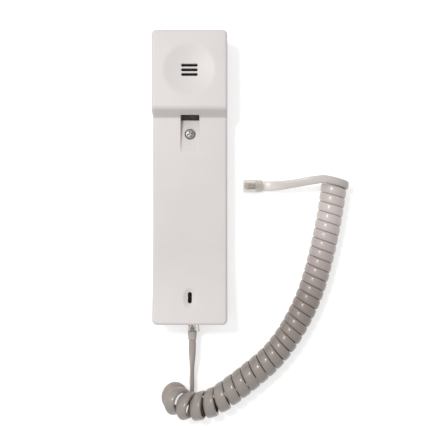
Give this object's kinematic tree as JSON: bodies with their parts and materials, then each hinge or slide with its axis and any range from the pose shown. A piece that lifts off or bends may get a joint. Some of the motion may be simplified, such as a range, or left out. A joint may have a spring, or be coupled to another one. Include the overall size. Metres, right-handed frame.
{
  "type": "intercom handset",
  "caption": "Slim intercom handset with a raised dished earpiece, a ramped hook recess and a mouth slot, on a curly cord that ends in modular plugs.",
  "frame": {"origin": "centre of the handset's flat back, on the surface that it lies on", "axes": "+X across the handset, to the right with the ear end up; +Y from the mouth end to the ear end; +Z out of the ear face"},
  "size_m": [0.1194, 0.2349, 0.026],
  "materials": {
    "shell": "satin",
    "steel": "plated",
    "dark_steel": "dull",
    "mesh": "matte",
    "foam": "matte",
    "copper": "enamelled wire",
    "film": "satin film",
    "board": "satin",
    "aluminium": "satin",
    "rubber": "matte",
    "jack": "satin",
    "contacts": "gold plated",
    "wire_red": "satin",
    "wire_blue": "satin",
    "clear": "clear",
    "cord": "glossy"
  },
  "bodies": {
    "handset": {"front_shell": "shell", "hook_tray": "shell", "back_shell": "shell", "case_screw": "steel", "ear_mesh": "mesh", "speaker_gasket": "foam", "speaker_frame": "dark_steel", "speaker_yoke": "steel", "speaker_magnet": "dark_steel", "speaker_pole_plate": "steel", "speaker_terminals": "board", "speaker_pad": "foam", "mic_mesh": "mesh", "mic_capsule": "aluminium", "mic_boot": "rubber", "mic_board": "board", "jack_housing": "jack", "jack_contacts": "contacts", "speaker_wires": "wire_red", "mic_wires": "wire_blue"},
    "diaphragm": {"speaker_voice_coil": "copper", "speaker_diaphragm": "film"},
    "cord": {"handset_plug_body": "clear", "handset_plug_contacts": "contacts", "cord_sleeve": "cord", "cord_lead_handset": "cord", "cord_coil": "cord", "cord_lead_line": "cord", "line_plug_body": "clear", "line_plug_contacts": "contacts"},
    "handset_latch": {"handset_plug_latch": "clear"},
    "line_latch": {"line_plug_latch": "clear"}
  },
  "joints": [
    {"name": "plug_pull", "type": "slide", "parent": "handset", "child": "cord", "axis": [0, -1, 0], "range_m": [0, 0.02]},
    {"name": "handset_latch_press", "type": "hinge", "parent": "cord", "child": "handset_latch", "pos_m": [0.00325, -0.0832, 0.00717], "axis": [0, 0, -1], "range_deg": [0, 4.5], "stiffness_Nm_per_rad": 0.05},
    {"name": "line_latch_press", "type": "hinge", "parent": "cord", "child": "line_latch", "pos_m": [0.0338, -0.0039, 0.0047], "axis": [0, 1, 0], "range_deg": [0, 4.5], "stiffness_Nm_per_rad": 0.05},
    {"name": "diaphragm_travel", "type": "slide", "parent": "handset", "child": "diaphragm", "axis": [0, 0, 1], "range_m": [-0.0003, 0.0003], "stiffness_N_per_m": 500}
  ]
}
